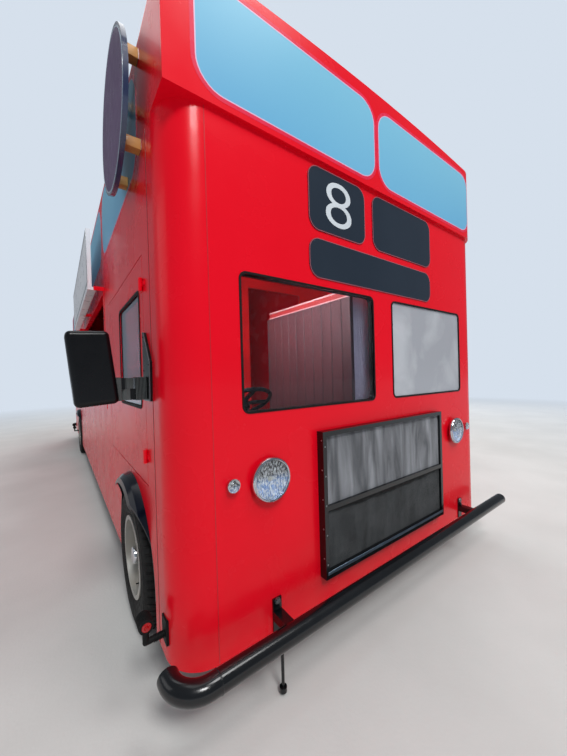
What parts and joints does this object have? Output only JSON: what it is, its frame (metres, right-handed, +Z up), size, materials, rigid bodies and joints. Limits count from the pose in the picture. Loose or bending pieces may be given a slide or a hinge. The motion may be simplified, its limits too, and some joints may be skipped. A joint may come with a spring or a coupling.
{
  "type": "bus-shaped serving vehicle",
  "caption": "Low bus-shaped bar vehicle with a painted upper deck, round tube bumpers, serving hatch, cab doors, folding mirrors, steered front wheels and a rear staff door.",
  "frame": {"origin": "on the ground, in the middle of the overall length and width", "axes": "+X to the nearside, +Y from the front to the rear, +Z up; the front faces -Y"},
  "size_m": [3.1004, 8.3358, 2.9898],
  "materials": {
    "red_paint": "gloss",
    "red_lining": "satin",
    "black_paint": "satin",
    "black_plastic": "matt",
    "clear_glass": "gloss",
    "frosted_glass": "matt",
    "seal_rubber": "matt",
    "sign_charcoal": "satin",
    "grille_cloth": "matt",
    "chrome": "polished",
    "lamp_glass": "gloss",
    "red_lens": "gloss",
    "tyre": "matt",
    "wheel_silver": "satin",
    "chassis_black": "satin",
    "cast_parts": "matt",
    "floor_board": "satin",
    "bulkhead_board": "satin",
    "counter_board": "satin",
    "flap_white": "satin",
    "sign_blue": "gloss",
    "seat_fabric": "matt"
  },
  "bodies": {
    "coachwork": {"chassis_frame": "chassis_black", "floor_panel": "floor_board", "front_wall": "red_paint", "side_wall_offside": "red_paint", "side_wall_nearside": "red_paint", "rear_wall": "red_paint", "upper_front_panel": "red_paint", "upper_rear_panel": "red_paint", "roof_panel": "red_paint", "windscreen_offside": "clear_glass", "windscreen_nearside": "frosted_glass", "windscreen_seals": "seal_rubber", "sign_boards": "sign_charcoal", "grille_frame": "black_paint", "grille_cloths": "grille_cloth", "lamp_bodies": "chrome", "lamp_lenses": "lamp_glass", "bumper_tubes": "black_paint", "bumper_brackets": "black_paint", "mudguards": "black_paint", "wheel_boxes": "chassis_black", "marker_arms": "seal_rubber", "signal_lenses": "red_lens", "round_signs": "sign_blue", "mirror_arms": "black_plastic", "engine_block": "cast_parts", "front_subframe": "chassis_black", "rear_axle": "chassis_black", "hatch_frame": "red_paint", "serving_counter": "counter_board", "bulkhead": "red_lining", "cab_partition": "bulkhead_board", "seat_frame": "black_plastic", "seat_cushions": "seat_fabric", "dashboard": "black_plastic"},
    "mirror_head_offside": {"mirror_head_offside": "black_plastic"},
    "mirror_head_nearside": {"mirror_head_nearside": "black_plastic"},
    "knuckle_offside": {"knuckle_offside": "cast_parts"},
    "knuckle_nearside": {"knuckle_nearside": "cast_parts"},
    "hatch_flap": {"hatch_flap": "flap_white"},
    "counter_leaf": {"counter_leaf": "counter_board"},
    "cab_door_offside": {"cab_door_offside": "red_paint", "cab_glass_offside": "clear_glass"},
    "cab_door_nearside": {"cab_door_nearside": "red_paint", "cab_glass_nearside": "clear_glass"},
    "rear_door": {"rear_door": "red_paint"},
    "steering_wheel": {"steering_wheel": "black_plastic"},
    "front_wheel_offside": {"front_wheel_offside": "wheel_silver", "front_tyre_offside": "tyre"},
    "front_wheel_nearside": {"front_wheel_nearside": "wheel_silver", "front_tyre_nearside": "tyre"},
    "rear_wheel_offside": {"rear_wheel_offside": "wheel_silver", "rear_tyre_offside": "tyre"},
    "rear_wheel_nearside": {"rear_wheel_nearside": "wheel_silver", "rear_tyre_nearside": "tyre"}
  },
  "joints": [
    {"name": "steer_offside", "type": "hinge", "parent": "coachwork", "child": "knuckle_offside", "pos_m": [-1.02, -3.23, 0.37], "axis": [0, 0, 1], "range_deg": [-35, 35]},
    {"name": "front_wheel_spin_offside", "type": "hinge", "parent": "knuckle_offside", "child": "front_wheel_offside", "pos_m": [-1.1635, -3.23, 0.37], "axis": [1, 0, 0], "continuous": true},
    {"name": "rear_wheel_spin_offside", "type": "hinge", "parent": "coachwork", "child": "rear_wheel_offside", "pos_m": [-1.1635, 1.9, 0.37], "axis": [1, 0, 0], "continuous": true},
    {"name": "cab_door_swing_offside", "type": "hinge", "parent": "coachwork", "child": "cab_door_offside", "pos_m": [-1.26, -3.62, 1.396], "axis": [0, 0, 1], "range_deg": [0, 70]},
    {"name": "mirror_fold_offside", "type": "hinge", "parent": "coachwork", "child": "mirror_head_offside", "pos_m": [-1.335, -3.672, 1.3175], "axis": [0, 0, 1], "range_deg": [0, 75]},
    {"name": "steer_nearside", "type": "hinge", "parent": "coachwork", "child": "knuckle_nearside", "pos_m": [1.02, -3.23, 0.37], "axis": [0, 0, 1], "range_deg": [-35, 35]},
    {"name": "front_wheel_spin_nearside", "type": "hinge", "parent": "knuckle_nearside", "child": "front_wheel_nearside", "pos_m": [1.1635, -3.23, 0.37], "axis": [1, 0, 0], "continuous": true},
    {"name": "rear_wheel_spin_nearside", "type": "hinge", "parent": "coachwork", "child": "rear_wheel_nearside", "pos_m": [1.1635, 1.9, 0.37], "axis": [1, 0, 0], "continuous": true},
    {"name": "cab_door_swing_nearside", "type": "hinge", "parent": "coachwork", "child": "cab_door_nearside", "pos_m": [1.26, -3.62, 1.396], "axis": [0, 0, -1], "range_deg": [0, 70]},
    {"name": "mirror_fold_nearside", "type": "hinge", "parent": "coachwork", "child": "mirror_head_nearside", "pos_m": [1.335, -3.672, 1.3175], "axis": [0, 0, -1], "range_deg": [0, 75]},
    {"name": "rear_door_swing", "type": "hinge", "parent": "coachwork", "child": "rear_door", "pos_m": [0.9, 4.01, 1.4525], "axis": [0, 0, -1], "range_deg": [0, 110]},
    {"name": "hatch_flap_swing", "type": "hinge", "parent": "coachwork", "child": "hatch_flap", "pos_m": [-1.31, -0.98, 2.112], "axis": [0, -1, 0], "range_deg": [0, 180]},
    {"name": "counter_leaf_swing", "type": "hinge", "parent": "coachwork", "child": "counter_leaf", "pos_m": [-1.1915, -0.98, 1.1628], "axis": [0, -1, 0], "range_deg": [0, 90]},
    {"name": "steering_wheel_turn", "type": "hinge", "parent": "coachwork", "child": "steering_wheel", "pos_m": [-0.555, -3.255, 1.175], "axis": [0, 0.5, 0.866], "range_deg": [-530, 530]}
  ],
  "couplings": [
    {"joint": "steer_nearside", "follows": "steer_offside", "ratio": 1},
    {"joint": "steering_wheel_turn", "follows": "steer_offside", "ratio": 15}
  ]
}
